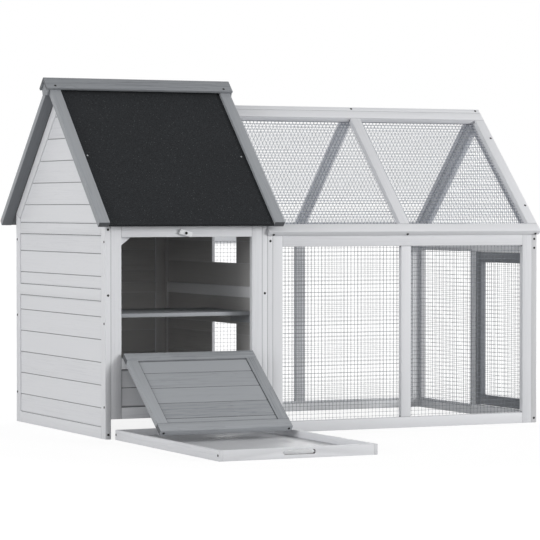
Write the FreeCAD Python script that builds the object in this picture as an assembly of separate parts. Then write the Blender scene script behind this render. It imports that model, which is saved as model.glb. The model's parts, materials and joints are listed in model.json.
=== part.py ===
"""Small animal hutch: a plank house under a felt roof, with a wire run on its right.

The front looks toward -Y, the left end toward -X, and the hutch stands on the floor at Z = 0.
Everything is drawn with X = 0 on the house's left face and Y = 0 on its front face, the ramp door
let down and the tray drawn out, and is then moved so that the origin is under the middle.
"""
import math
import os

import FreeCAD
import Part

V = FreeCAD.Vector

# Timber stock
frame_width = 34.0
frame_thickness = 18.0
board_thickness = 10.0
board_pitch = 68.4
board_recess = 3.5
board_chamfer = 1.6
narrowest_board = 6.5

# House walls; the run's roof passes under the house's, so the eaves keep a step
house_width = 536.0
house_depth = 775.0
run_eave = 609.5
eave_step = 64.5
house_eave = run_eave + eave_step
roof_pitch = 45.0
mid_rail_z = 414.0
eave_rail_drop = 63.0
eave_rail_z = house_eave - eave_rail_drop
low_first_board = 58.0
mid_first_board = 39.0
gable_first_board = 58.0
opening_front = 201.0
opening_back = 386.0
doorway_top = 329.0
window_sill = 520.0

# House front and shelf
tray_gap = 60.0
sill_z = 243.0
head_drop = 69.0
head_z = house_eave - head_drop
front_first_board = 59.0
brace_along = 76.0
brace_down = 61.0
brace_thickness = 12.0
shelf_z = 361.5
shelf_thickness = 11.5
shelf_front = 60.0
shelf_back = 420.0
cleat_width = 12.0
cleat_height = 24.0
cleat_length = 150.0

# House roof
roof_overhang = 36.5
deck_overhang = 3.5
deck_thickness = 6.0
felt_thickness = 2.0
strip_thickness = 19.5
strip_drop = 2.0
cap_thickness = 8.5
cap_width = 48.0
cap_left_overhang = 14.0
cap_right_overhang = 8.0
plate_thickness = 8.0
plate_half_width = 26.0
plate_half_foot = 20.0
plate_height = 44.0

# Ramp door
ramp_side_gap = 3.0
ramp_hinge_gap = 5.0
ramp_head_gap = 4.0
ramp_first_board = 57.0
ramp_clearance = 1.0
ramp_bind_play = 0.2

# Tray
tray_side_gap = 5.0
tray_end_gap = 23.0
tray_height = 30.5
tray_wall = 12.0
tray_sheet = 4.0
tray_sheet_z = 6.0
tray_groove = 4.0
tray_out = 21.0
slot_length = 100.0
slot_height = 13.0
slot_lip = 0.5

# Run
run_length = 961.0
run_rail_drop = 36.5
run_rail_z = run_eave - run_rail_drop
run_overhang = 3.0
run_end_overhang = 6.0
end_rail_drop = 62.5
end_rail_z = run_eave - end_rail_drop
end_stile_y = 363.0
run_door_gap = 3.0
run_door_head_gap = 1.0

# Wire
wire = 1.2
mesh_lap = 8.0
roof_lap = 3.0
gable_lap = 15.0
mesh_cell = 76.2
least_mesh_gap = 650.0

# Hinges and turn-buttons
hinge_length = 60.0
knuckle_radius = 2.0
leaf_thickness = 1.0
leaf_width = 15.0
pin_radius = 1.1
knuckle_play = 0.3
running_gap = 0.05
ramp_hinge_inset = 85.0
run_hinge_inset = 85.0
button_length = 40.0
button_width = 15.0
button_thickness = 9.0
button_corner = 1.5
button_tilt = 16.0
front_button_x = 260.0
front_button_rise = 11.5
run_button_y = 24.0
run_button_z = 355.0
pivot_radius = 2.0
pivot_head = 4.2
pivot_head_height = 2.0
pivot_play = 0.2
pivot_grip = 12.0

# Derived sizes
pitch = math.radians(roof_pitch)
rise = math.tan(pitch)
middle_y = house_depth / 2
tall = house_eave + house_depth
inside_left = frame_thickness
inside_right = house_width - frame_thickness
run_right = house_width + run_length
panel_left = house_width + frame_thickness
panel_right = run_right - frame_thickness
roof_right = run_right + run_end_overhang
middle_x = (house_width + roof_right) / 2
door_left = inside_left + frame_width
door_right = inside_right - frame_width
tray_width = inside_right - inside_left - 2 * tray_side_gap
tray_depth = house_depth - tray_end_gap
f, d = frame_width, house_depth

nodes = {}


def stick(u0, u1, v0, v1, w0=0.0, w1=frame_thickness):
    """A straight member of an upright panel: u runs along the panel, v up, w inward from its face."""
    return Part.makeBox(u1 - u0, w1 - w0, v1 - v0, V(u0, w0, v0))


def sheet_face(points, w):
    """A flat face with an outline of (u, v) points."""
    ring = [V(u, w, v) for u, v in points]
    return Part.Face(Part.makePolygon(ring + ring[:1]))


def plate(points, w0, w1):
    """A flat piece with an outline of (u, v) points."""
    return sheet_face(points, w0).extrude(V(0, w1 - w0, 0))


def prism(points, x0, x1):
    """A piece with a section of (y, z) points that runs along X."""
    ring = [V(x0, y, z) for y, z in points]
    return Part.Face(Part.makePolygon(ring + ring[:1])).extrude(V(x1 - x0, 0, 0))


def planks(u0, u1, v0, v1, first):
    """Boards between v0 and v1, with the V joint's chamfers on their outer face."""
    joints = [v0]
    v = v0 + first
    while v < v1 - narrowest_board:
        joints.append(v)
        v += board_pitch
    joints.append(v1)
    near, far, c = board_recess, board_recess + board_thickness, board_chamfer
    boards = []
    for low, high in zip(joints, joints[1:]):
        section = [(near + c, low), (far, low), (far, high), (near + c, high), (near, high - c),
                   (near, low + c)]
        boards.append(prism(section, u0, u1))
    return boards


def within(shapes, region):
    """The shapes' solids inside a region."""
    return [solid for shape in shapes for solid in shape.common(region).Solids]


def without(shapes, region):
    """The shapes' solids outside a region."""
    return [solid for shape in shapes for solid in shape.cut(region).Solids]


def stand(shapes, heading, x, y):
    """Turn panels about Z and move them to their place."""
    for shape in shapes:
        shape.rotate(V(0, 0, 0), V(0, 0, 1), heading)
        shape.translate(V(x, y, 0))
    return shapes


def lean(shapes, overhang, eave):
    """Lay panels on the front slope: w = 0 lies on the walls' top line, v = 0 is the eave."""
    for shape in shapes:
        shape.rotate(V(0, 0, 0), V(1, 0, 0), roof_pitch - 90)
        shape.translate(V(0, -overhang, eave - overhang * rise))
    return shapes


def mirrored(shapes):
    """The same pieces on the other slope or wall."""
    return [shape.mirror(V(0, middle_y, 0), V(0, 1, 0)) for shape in shapes]


def above(front_z=None, back_z=None):
    """The space over a slope that starts at front_z at the front face or at back_z at the back face."""
    far = house_depth
    front_edge, back_edge = -far, house_depth + far
    if back_z is None:
        line = [(front_edge, front_z - far * rise), (back_edge, front_z + back_edge * rise)]
    elif front_z is None:
        line = [(front_edge, back_z + back_edge * rise), (back_edge, back_z - far * rise)]
    else:
        line = [(front_edge, front_z - far * rise), (middle_y, front_z + middle_y * rise),
                (back_edge, back_z - far * rise)]
    top = [(back_edge, 4 * tall), (front_edge, 4 * tall)]
    return prism(line + top, -tall, 3 * tall)


def gable_frame(eave):
    """Stiles and rafters of a gable panel, mitred together, in the panel's own u and v."""
    inner_corner = eave + f * rise - f / math.cos(pitch)
    apex = eave + middle_y * rise
    stile = [(0, 0), (f, 0), (f, inner_corner), (0, eave)]
    rafter = [(0, eave), (f, inner_corner), (middle_y, apex - f / math.cos(pitch)), (middle_y, apex)]

    def pair(points):
        """The piece at u = 0 and its mirror image."""
        return [plate(points, 0, frame_thickness),
                plate([(house_depth - u, v) for u, v in points], 0, frame_thickness)]
    return pair(stile), pair(rafter)


def gable_field(eave, low, inset=0.0):
    """Outline of the space under a gable's rafters and above a rail."""
    side = frame_width - inset
    drop = (frame_width - inset) / math.cos(pitch)
    corner, top = eave + side * rise - drop, eave + middle_y * rise - drop
    foot = max(side, middle_y - (top - low) / rise)
    line = [(foot, low), (house_depth - foot, low)]
    if corner > low:
        line += [(house_depth - side, corner), (middle_y, top), (side, corner)]
    else:
        line += [(middle_y, top)]
    return line


def oblong(u0, u1, v0, v1):
    """Corners of a rectangle."""
    return [(u0, v0), (u1, v0), (u1, v1), (u0, v1)]


def net(outline, inner, w):
    """Welded mesh as one holed sheet, its holes inside the inner outline.

    Every sixth wire of the 12.7 mm squares is drawn.
    """
    us, vs = [u for u, v in inner], [v for u, v in inner]
    columns = max(1, round((max(us) - min(us)) / mesh_cell))
    rows = max(1, round((max(vs) - min(vs)) / mesh_cell))
    du, dv = (max(us) - min(us) + wire) / columns, (max(vs) - min(vs) + wire) / rows
    squares = []
    for i in range(columns):
        for j in range(rows):
            left, low = min(us) + i * du, min(vs) + j * dv
            squares.append(sheet_face(oblong(left, left + du - wire, low, low + dv - wire), w))
    gaps = Part.makeCompound(squares).common(sheet_face(inner, w)).Faces
    gaps = [gap for gap in gaps if gap.Area > least_mesh_gap]
    return sheet_face(outline, w).cut(Part.makeCompound(gaps)).Faces[0].extrude(V(0, wire, 0))


def framed_net(u0, u1, v0, v1, w):
    """A rectangle of welded mesh."""
    inner = oblong(u0 + wire, u1 - wire, v0 + wire, v1 - wire)
    return net(oblong(u0, u1, v0, v1), inner, w)


def hinge_leaf(side, y0, y1, bands):
    """A leaf with its knuckles about the Z axis; the plate reaches out along X on one side."""
    clear = knuckle_radius + knuckle_play
    x0, x1 = sorted((side * clear, side * leaf_width))
    leaf = Part.makeBox(x1 - x0, y1 - y0, hinge_length, V(x0, y0, 0))
    for low, high in bands:
        x0, x1 = sorted((0.0, side * clear))
        leaf = leaf.fuse([Part.makeCylinder(knuckle_radius, high - low, V(0, 0, low)),
                          Part.makeBox(x1 - x0, y1 - y0, high - low, V(x0, y0, low))])
    bore = Part.makeCylinder(pin_radius + running_gap, 2 * hinge_length, V(0, 0, -hinge_length / 2))
    return leaf.cut(bore).removeSplitter().Solids[0]


def hinge_pin():
    """A plain pin about the Z axis, as long as its hinge."""
    return Part.makeCylinder(pin_radius, hinge_length)


third, play = hinge_length / 3, knuckle_play / 2
fixed_bands = [(0, third - play), (2 * third + play, hinge_length)]
moving_bands = [(third + play, 2 * third - play)]


def turn_button():
    """A rounded wooden block on a hole along Y, its back on the Y = 0 plane and its length along X."""
    block = Part.makeBox(button_length, button_thickness, button_width,
                         V(-button_length / 2, -button_thickness, -button_width / 2))
    upright = [e for e in block.Edges if e.BoundBox.YLength > button_thickness / 2]
    block = block.makeFillet(button_corner, upright)
    return block.cut(Part.makeCylinder(pivot_radius + running_gap, 2 * button_thickness,
                                       V(0, button_thickness / 2, 0), V(0, -1, 0)))


def pivot_screw(gap=0.0):
    """The turn-button's screw, driven along +Y through the Y = 0 plane."""
    front = -button_thickness - pivot_play
    shank = Part.makeCylinder(pivot_radius + gap, pivot_grip - front, V(0, front, 0), V(0, 1, 0))
    head = Part.makeCylinder(pivot_head, pivot_head_height, V(0, front, 0), V(0, -1, 0))
    return shank.fuse(head).removeSplitter()


# House: left wall and partition
gable_top = house_eave + middle_y * rise - f / math.cos(pitch)
gable_boards_low = eave_rail_z + f


def wall_rails():
    """Bottom, middle and eave rails of a side wall."""
    return [stick(f, d - f, z, z + f) for z in (0.0, mid_rail_z, eave_rail_z)]


def gable_boards():
    """Boards between a gable's rafters."""
    region = plate(gable_field(house_eave, gable_boards_low), 0, frame_thickness)
    return within(planks(f, d - f, gable_boards_low, gable_top, gable_first_board), region)


stiles, rafters = gable_frame(house_eave)
boards = planks(f, d - f, f, mid_rail_z, low_first_board)
boards += planks(f, d - f, mid_rail_z + f, eave_rail_z, mid_first_board)
boards += gable_boards()
nodes["left_wall_stiles"] = stand(stiles, -90, 0, d)
nodes["left_wall_rails"] = stand(wall_rails(), -90, 0, d)
nodes["left_wall_rafters"] = stand(rafters, -90, 0, d)
nodes["left_wall_boards"] = stand(boards, -90, 0, d)

stiles, rafters = gable_frame(house_eave)
boards = planks(f, d - f, doorway_top, mid_rail_z, mid_rail_z - doorway_top - board_pitch)
boards += planks(f, d - f, mid_rail_z + f, window_sill, board_pitch)
for u0, u1 in ((f, opening_front), (opening_back, d - f)):
    boards += planks(u0, u1, f, doorway_top, low_first_board)
    boards += planks(u0, u1, window_sill, eave_rail_z, board_pitch)
boards += gable_boards()
nodes["partition_stiles"] = stand(stiles, 90, house_width, 0)
nodes["partition_rails"] = stand(wall_rails(), 90, house_width, 0)
nodes["partition_rafters"] = stand(rafters, 90, house_width, 0)
nodes["partition_boards"] = stand(boards, 90, house_width, 0)

# House: front, back and shelf
over_house = above(house_eave, house_eave)


def end_stiles():
    """The two stiles of the house's front or back, still without their slanted tops."""
    return [stick(inside_left, door_left, tray_gap, tall), stick(door_right, inside_right, tray_gap, tall)]


def cross_rail(z0, z1):
    """A rail between those stiles."""
    return stick(door_left, door_right, z0, z1)


rails = [cross_rail(tray_gap, tray_gap + f), cross_rail(sill_z - f, sill_z), cross_rail(head_z, tall)]
nodes["house_front_stiles"] = without(end_stiles(), over_house)
nodes["house_front_rails"] = without(rails, over_house)
nodes["house_front_boards"] = planks(door_left, door_right, tray_gap + f, sill_z - f, front_first_board)

corner = (door_left - f / 2, head_z + f / 2)
nodes["corner_brace"] = [plate([corner, (corner[0], corner[1] - brace_down),
                                (corner[0] + brace_along, corner[1])],
                               frame_thickness, frame_thickness + brace_thickness)]

rails = [cross_rail(tray_gap, tray_gap + f), cross_rail(mid_rail_z, mid_rail_z + f),
         cross_rail(eave_rail_z, tall)]
boards = planks(door_left, door_right, tray_gap + f, mid_rail_z, low_first_board)
boards += planks(door_left, door_right, mid_rail_z + f, eave_rail_z, mid_first_board)
nodes["house_back_stiles"] = mirrored(without(end_stiles(), over_house))
nodes["house_back_rails"] = mirrored(without(rails, over_house))
nodes["house_back_boards"] = mirrored(boards)

wall_inner = board_recess + board_thickness
nodes["shelf_panel"] = [Part.makeBox(inside_right - inside_left, shelf_back - shelf_front, shelf_thickness,
                                     V(inside_left, shelf_front, shelf_z))]
cleat_reach = frame_thickness - wall_inner + cleat_width
nodes["shelf_cleats"] = [Part.makeBox(cleat_reach, cleat_length, cleat_height,
                                      V(x, shelf_front, shelf_z - cleat_height))
                         for x in (wall_inner, house_width - wall_inner - cleat_reach)]

# House roof: w is 0 on the rafters' top plane and negative above it
slope_run = (middle_y + roof_overhang) / math.cos(pitch)
strip_top = strip_drop - strip_thickness
past = slope_run + tall
to_ridge = Part.makeBox(4 * tall, middle_y + tall, 4 * tall, V(-tall, -tall, -tall))


def slope(pieces):
    """Lay pieces on the front slope and end them at the ridge."""
    return within(lean(pieces, roof_overhang, house_eave), to_ridge)


deck_left, deck_right = -deck_overhang, house_width + deck_overhang
felt_top = -deck_thickness - felt_thickness
deck = slope([stick(deck_left, deck_right, felt_thickness, past, -deck_thickness, 0)])
felt_sheet = stick(deck_left, deck_right, 0, past, felt_top, -deck_thickness)
felt_fold = stick(deck_left, deck_right, 0, felt_thickness, felt_top, 0)
felt = slope([felt_sheet.fuse(felt_fold).removeSplitter()])
strips = slope([stick(u, u + f, 0, past, strip_top, strip_drop) for u in (deck_left - f, deck_right)])
cap_low = slope_run - (strip_top - cap_thickness) * rise - cap_width
cap = slope([stick(deck_left - f - cap_left_overhang, deck_right + f + cap_right_overhang, cap_low, past,
                   strip_top - cap_thickness, strip_top)])
nodes["roof_deck"] = deck + mirrored(deck)
nodes["roof_felt"] = felt + mirrored(felt)
nodes["rake_strips"] = strips + mirrored(strips)
nodes["ridge_cap"] = cap + mirrored(cap)

cap_inner = house_eave + middle_y * rise - strip_top / math.cos(pitch)
half = [(plate_half_width, cap_inner - plate_half_width * rise), (plate_half_foot, cap_inner - plate_height)]
outline = [(middle_y, cap_inner)] + [(middle_y - y, z) for y, z in half]
outline += [(middle_y + y, z) for y, z in reversed(half)]
nodes["ridge_end_plates"] = [prism(outline, x, x + plate_thickness)
                             for x in (deck_left - f - plate_thickness, deck_right + f)]

# Ramp door, drawn shut in the doorway and then let down
ramp_left, ramp_right = door_left + ramp_side_gap, door_right - ramp_side_gap
ramp_low, ramp_high = sill_z + ramp_hinge_gap, head_z - ramp_head_gap
ramp_boards = planks(ramp_left + f, ramp_right - f, ramp_low + f, ramp_high - f, ramp_first_board)
ramp = {
    "ramp_stiles": [stick(ramp_left, ramp_left + f, ramp_low + f, ramp_high - f),
                    stick(ramp_right - f, ramp_right, ramp_low + f, ramp_high - f)],
    "ramp_rails": [stick(ramp_left, ramp_right, ramp_low, ramp_low + f),
                   stick(ramp_left, ramp_right, ramp_high - f, ramp_high)],
    "ramp_boards": [board.mirror(V(0, frame_thickness / 2, 0), V(0, 1, 0)) for board in ramp_boards],
}

# The ramp swings down until its lower edge binds on the hinge rail, just over the tray's rim
ramp_reach = ramp_high - sill_z - ramp_hinge_gap / 2
pin_z = sill_z + ramp_hinge_gap / 2
ramp_fall = pin_z - tray_height - ramp_clearance
ramp_open = math.acos(-ramp_fall / ramp_reach)
pin_setback = ramp_hinge_gap / 2 / math.tan(ramp_open / 2)
ramp_angle = math.degrees(ramp_open) - ramp_bind_play
hinge_starts = [ramp_left + ramp_hinge_inset - hinge_length / 2,
                ramp_right - ramp_hinge_inset - hinge_length / 2]


def ramp_hinges(pieces):
    """Turn hinge pieces so that their axis runs along X, and set them on the ramp's pin line."""
    for piece, x in zip(pieces, hinge_starts):
        piece.rotate(V(0, 0, 0), V(1, 1, 1), 120)
        piece.translate(V(x, pin_setback, pin_z))
    return pieces


low, high = -ramp_hinge_gap / 2, ramp_hinge_gap / 2
nodes["sill_hinge_leaves"] = ramp_hinges([hinge_leaf(1, low, low + leaf_thickness, fixed_bands)
                                          for x in hinge_starts])
nodes["ramp_hinge_pins"] = ramp_hinges([hinge_pin() for x in hinge_starts])
ramp["ramp_hinge_leaves"] = ramp_hinges([hinge_leaf(1, high - leaf_thickness, high, moving_bands)
                                         for x in hinge_starts])
for name, pieces in ramp.items():
    for piece in pieces:
        piece.rotate(V(0, pin_setback, pin_z), V(1, 0, 0), ramp_angle)
    nodes[name] = pieces

# Turn-button over the doorway
front_pivot = V(front_button_x, 0, head_z + front_button_rise)
button, screw, hole = turn_button(), pivot_screw(), pivot_screw(running_gap)
button.rotate(V(0, 0, 0), V(0, 1, 0), button_tilt)
for piece in (button, screw, hole):
    piece.translate(front_pivot)
nodes["front_turn_button"] = [button]
nodes["front_button_screw"] = [screw]
nodes["house_front_rails"] = without(nodes["house_front_rails"], hole)

# Tray, drawn out in front of the house
tray_left = (house_width - tray_width) / 2
tray_right = tray_left + tray_width
tray_back, tray_front = -tray_out, -tray_out - tray_depth
sheet_edge = tray_wall - tray_groove
sheet = Part.makeBox(tray_width - 2 * sheet_edge, tray_depth - 2 * sheet_edge, tray_sheet,
                     V(tray_left + sheet_edge, tray_front + sheet_edge, tray_sheet_z))
slot_low = tray_sheet_z + tray_sheet + slot_lip
slot_radius = slot_height / 2
slot_half = slot_length / 2 - slot_radius
slot_ends = [Part.makeCylinder(slot_radius, tray_wall, V(x, 0, slot_radius), V(0, 1, 0))
             for x in (-slot_half, slot_half)]
slot = stick(-slot_half, slot_half, 0, slot_height, 0, tray_wall).fuse(slot_ends).removeSplitter()
slot.translate(V(house_width / 2, tray_front, slot_low))
ends = [Part.makeBox(tray_width - 2 * tray_wall, tray_wall, tray_height, V(tray_left + tray_wall, y, 0))
        for y in (tray_front, tray_back - tray_wall)]
sides = [Part.makeBox(tray_wall, tray_depth, tray_height, V(x, tray_front, 0))
         for x in (tray_left, tray_right - tray_wall)]
nodes["tray_front"] = without([ends[0]], sheet.fuse(slot))
nodes["tray_back"] = without([ends[1]], sheet)
nodes["tray_sides"] = without(sides, sheet)
nodes["tray_floor"] = [sheet]

# Run: posts, front and back panels
over_run = above(run_eave, run_eave)
posts = [Part.makeBox(frame_thickness, f, tall, V(house_width, y, 0)) for y in (0, d - f)]
nodes["run_left_posts"] = without(posts, over_run)
stiles = [stick(panel_left, panel_left + f, 0, tall),
          stick(middle_x - f / 2, middle_x + f / 2, f, run_rail_z),
          stick(panel_right - f, panel_right, 0, tall)]
rails = [stick(panel_left + f, panel_right - f, 0, f),
         stick(panel_left + f, panel_right - f, run_rail_z, tall)]
nodes["run_front_stiles"] = without(stiles, over_run)
nodes["run_front_rails"] = without(rails, over_run)
nodes["run_front_mesh"] = [framed_net(panel_left + f - mesh_lap, panel_right - f + mesh_lap, f - mesh_lap,
                                      run_rail_z + mesh_lap, frame_thickness)]
for part in ("stiles", "rails", "mesh"):
    nodes["run_back_" + part] = mirrored(nodes["run_front_" + part])

# Run: end panel with its gable
stiles, rafters = gable_frame(run_eave)
stiles.append(stick(end_stile_y, end_stile_y + f, f, end_rail_z))
tie_low = end_rail_z + f
under_rafters = plate(gable_field(run_eave, tie_low), 0, frame_thickness)
rails = [stick(f, d - f, 0, f), stick(f, d - f, end_rail_z, tie_low)]
rails += within([stick(f, d - f, tie_low, run_eave)], under_rafters)
end_mesh = framed_net(end_stile_y + f - mesh_lap, d - f + mesh_lap, f - mesh_lap, end_rail_z + mesh_lap,
                      frame_thickness)
gable_mesh = net(gable_field(run_eave, run_eave - mesh_lap, gable_lap),
                 gable_field(run_eave, run_eave - mesh_lap + wire, gable_lap - wire), frame_thickness)
nodes["run_end_stiles"] = stand(stiles, 90, run_right, 0)
nodes["run_end_rails"] = stand(rails, 90, run_right, 0)
nodes["run_end_rafters"] = stand(rafters, 90, run_right, 0)
nodes["run_end_mesh"] = stand([end_mesh], 90, run_right, 0)
nodes["run_gable_mesh"] = stand([gable_mesh], 90, run_right, 0)

# Run roof: the back slope runs over the ridge and the front slope butts against it
roof_run = (middle_y + run_overhang) / math.cos(pitch)
thick = frame_thickness
cover = thick / math.cos(pitch)
rafter_starts = (house_width, middle_x - f / 2, roof_right - f)


def run_slope(top):
    """Rails and rafters of one slope whose upper rail ends at v = top on its inner plane."""
    frames = [[stick(house_width, roof_right, 0, f, -thick, 0),
               stick(house_width, roof_right, top - f, past, -thick, 0)],
              [stick(x, x + f, f, top - f, -thick, 0) for x in rafter_starts]]
    return [lean(pieces, run_overhang, run_eave) for pieces in frames]


front_rails, front_rafters = run_slope(roof_run)
back_rails, back_rafters = run_slope(roof_run + thick / rise)
front_rails = without(front_rails, above(back_z=run_eave))
back_rails = without(mirrored(back_rails), above(front_z=run_eave + cover))
nodes["run_roof_rails"] = front_rails + back_rails
nodes["run_roof_rafters"] = front_rafters + mirrored(back_rafters)

roof_mesh = framed_net(house_width + f - roof_lap, roof_right - f + roof_lap, f - roof_lap,
                       roof_run - f + roof_lap, 0)
nodes["run_roof_front_mesh"] = lean([roof_mesh], run_overhang, run_eave)
nodes["run_roof_back_mesh"] = mirrored(nodes["run_roof_front_mesh"])

# Run door, shut in the end panel and hinged on the middle stile
gap = run_door_gap
u0, u1, v0, v1 = f + gap, end_stile_y - gap, f + gap, end_rail_z - run_door_head_gap
door = {
    "run_door_stiles": [stick(u0, u0 + f, v0, v1), stick(u1 - f, u1, v0, v1)],
    "run_door_rails": [stick(u0 + f, u1 - f, v0, v0 + f), stick(u0 + f, u1 - f, v1 - f, v1)],
    "run_door_mesh": [framed_net(u0 + f - mesh_lap, u1 - f + mesh_lap, v0 + f - mesh_lap, v1 - f + mesh_lap,
                                 frame_thickness)],
}
pin_y = end_stile_y - gap / 2
hinge_heights = [v0 + run_hinge_inset - hinge_length / 2, v1 - run_hinge_inset - hinge_length / 2]


def door_hinges(pieces):
    """Set upright hinge pieces outside the end panel's face, on the run door's pin line."""
    for piece, z in zip(pieces, hinge_heights):
        piece.translate(V(pin_y, -knuckle_radius, z))
    return pieces


low, high = knuckle_radius - leaf_thickness, knuckle_radius
door["run_door_hinge_leaves"] = door_hinges([hinge_leaf(-1, low, high, moving_bands) for z in hinge_heights])
door["post_hinge_leaves"] = door_hinges([hinge_leaf(1, low, high, fixed_bands) for z in hinge_heights])
door["run_door_hinge_pins"] = door_hinges([hinge_pin() for z in hinge_heights])
for name, pieces in door.items():
    nodes[name] = stand(pieces, 90, run_right, 0)

# Turn-button beside the run door, turned upright and clear of it
run_pivot = V(run_button_y, 0, run_button_z)
button, screw, hole = turn_button(), pivot_screw(), pivot_screw(running_gap)
button.rotate(V(0, 0, 0), V(0, 1, 0), 90)
for piece in (button, screw, hole):
    piece.translate(run_pivot)
stand([button, screw, hole], 90, run_right, 0)
nodes["run_turn_button"] = [button]
nodes["run_button_screw"] = [screw]
nodes["run_end_stiles"] = without(nodes["run_end_stiles"], hole)

# Move the origin under the middle of the whole hutch and write one file per node
whole = Part.makeCompound([solid for solids in nodes.values() for solid in solids]).BoundBox
offset = V(-whole.Center.x, -whole.Center.y, -whole.ZMin)
os.makedirs("parts", exist_ok=True)
for name, solids in nodes.items():
    shape = Part.makeCompound(solids)
    shape.translate(offset)
    shape.exportStep("parts/" + name + ".step")
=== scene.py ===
# %% [markdown]
# # A painted hutch with a wire run
#
# The real object is a flat-pack pet house: planed softwood under a thin white wash, grey painted doors and
# roof trim, black mineral felt and galvanised welded mesh. The solids already have every size and joint, so
# this lesson only dresses them: it eases the timber edges, lays grain along each stick, draws the mesh at its
# true density and drives the screws.

# %% Load the frame
import json
import math
import random

import bmesh
import bpy
import numpy as np
from mathutils import Matrix, Vector, geometry
from mathutils.bvhtree import BVHTree


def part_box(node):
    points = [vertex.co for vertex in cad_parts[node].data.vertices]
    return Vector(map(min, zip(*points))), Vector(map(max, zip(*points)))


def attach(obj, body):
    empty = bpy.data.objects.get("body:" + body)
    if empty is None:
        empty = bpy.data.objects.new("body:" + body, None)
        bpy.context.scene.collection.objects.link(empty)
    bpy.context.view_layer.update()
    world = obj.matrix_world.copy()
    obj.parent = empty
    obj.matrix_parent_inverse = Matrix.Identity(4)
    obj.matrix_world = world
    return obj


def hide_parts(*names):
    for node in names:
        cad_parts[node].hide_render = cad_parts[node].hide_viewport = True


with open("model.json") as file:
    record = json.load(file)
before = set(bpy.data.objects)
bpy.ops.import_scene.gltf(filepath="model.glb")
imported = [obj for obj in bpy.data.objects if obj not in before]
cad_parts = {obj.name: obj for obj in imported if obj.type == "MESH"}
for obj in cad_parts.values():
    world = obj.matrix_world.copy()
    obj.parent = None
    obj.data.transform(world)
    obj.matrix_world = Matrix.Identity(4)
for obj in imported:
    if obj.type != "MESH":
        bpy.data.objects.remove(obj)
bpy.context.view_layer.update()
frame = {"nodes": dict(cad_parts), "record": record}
MM = 0.001
HOME = {node: body for body, nodes in frame["record"]["behaviour"]["bodies"].items() for node in nodes}

# %% [markdown]
# ## Small helpers
#
# Node trees are long when each line makes a node, a setting and a link by hand. One function does all three:
# it adds a node, sets its options, and fills each input with either a plain value or another node's output.
# Paint charts give colours as sRGB hex, but a shader works in linear light, so one more function converts
# them.

# %% Small helpers
def put(tree, kind, inputs=None, **options):
    """Add a node; each input takes a value, an output socket, or a list of output sockets."""
    node = tree.nodes.new(kind)
    for option, value in options.items():
        setattr(node, option, value)
    for name, value in (inputs or {}).items():
        sources = value if isinstance(value, list) else [value]
        if isinstance(sources[0], bpy.types.NodeSocket):
            for source in sources:
                tree.links.new(source, node.inputs[name])
        else:
            node.inputs[name].default_value = value
    return node


def linear(code):
    """An sRGB hex colour as linear RGBA."""
    channels = [int(code[i:i + 2], 16) / 255 for i in (1, 3, 5)]
    return [c / 12.92 if c <= 0.04045 else ((c + 0.055) / 1.055) ** 2.4 for c in channels] + [1.0]


def new_material(name):
    """An empty material and its tree."""
    material = bpy.data.materials.new(name)
    material.use_nodes = True
    material.node_tree.nodes.clear()
    return material, material.node_tree


def shown(name, data):
    """A new object in the scene."""
    thing = bpy.data.objects.new(name, data)
    bpy.context.scene.collection.objects.link(thing)
    return thing


print("mid grey in linear light:", round(linear("#808080")[0], 3))

# %% [markdown]
# ## Camera
#
# The photograph was taken from far away with a long lens, a little below the eaves, so that upright edges
# stay upright. The camera's place was worked out from the known corners of the hutch; it stands in front and
# to the left, and is given from the house's lower left front corner.

# %% Camera
CAMERA_OFFSET = Vector((-2.95551, -7.36940, 0.69476))
CAMERA_YAW = -0.4434
CAMERA_DIP = math.radians(1.353)
LENS = 177.0
SENSOR = 36.0

corner = Vector((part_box("left_wall_stiles")[0].x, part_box("house_front_stiles")[0].y, 0.0))
camera = shown("camera", bpy.data.cameras.new("camera"))
camera.data.lens = LENS
camera.data.sensor_width = SENSOR
camera.location = corner + CAMERA_OFFSET
camera.rotation_euler = (math.pi / 2 - CAMERA_DIP, 0.0, CAMERA_YAW)
bpy.context.scene.camera = camera
bpy.context.scene.view_settings.view_transform = "Standard"
print("camera", round(CAMERA_OFFSET.length, 2), "m from the corner")

# %% [markdown]
# ## Floor and light
#
# A studio sweep is paper that curves up behind the object; here a large disc does it. Near the hutch it takes
# a soft shadow, and further out it fades into the same white as the world, so no horizon shows. Both are
# white only to the eye: what they throw on the hutch is set apart, by asking what kind of ray meets them. The
# photograph's light is low and wide, and upright faces are brighter than the slopes of the roof. So two large
# lamps stand low on the left and the right, a third one lights the back, and the sky is brighter near the
# horizon than overhead.

# %% Floor
FLOOR_RADIUS = 60.0
FLOOR_SIDES = 96
FLOOR_DROP = 0.3 * MM
SHADOW_REACH = (1.2, 2.6)
FLOOR_WHITE = 0.78
PAPER_GLOW = 1.11


def looked_at(tree):
    """1 for a ray from the eye, also by a reflection or through glass, and 0 for one that carries light."""
    ray = put(tree, "ShaderNodeLightPath")
    seen = put(tree, "ShaderNodeMath", {0: ray.outputs["Is Camera Ray"], 1: ray.outputs["Is Glossy Ray"]},
               operation="MAXIMUM")
    seen = put(tree, "ShaderNodeMath", {0: seen.outputs[0], 1: ray.outputs["Is Transmission Ray"]},
               operation="MAXIMUM")
    return seen.outputs[0]


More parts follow.
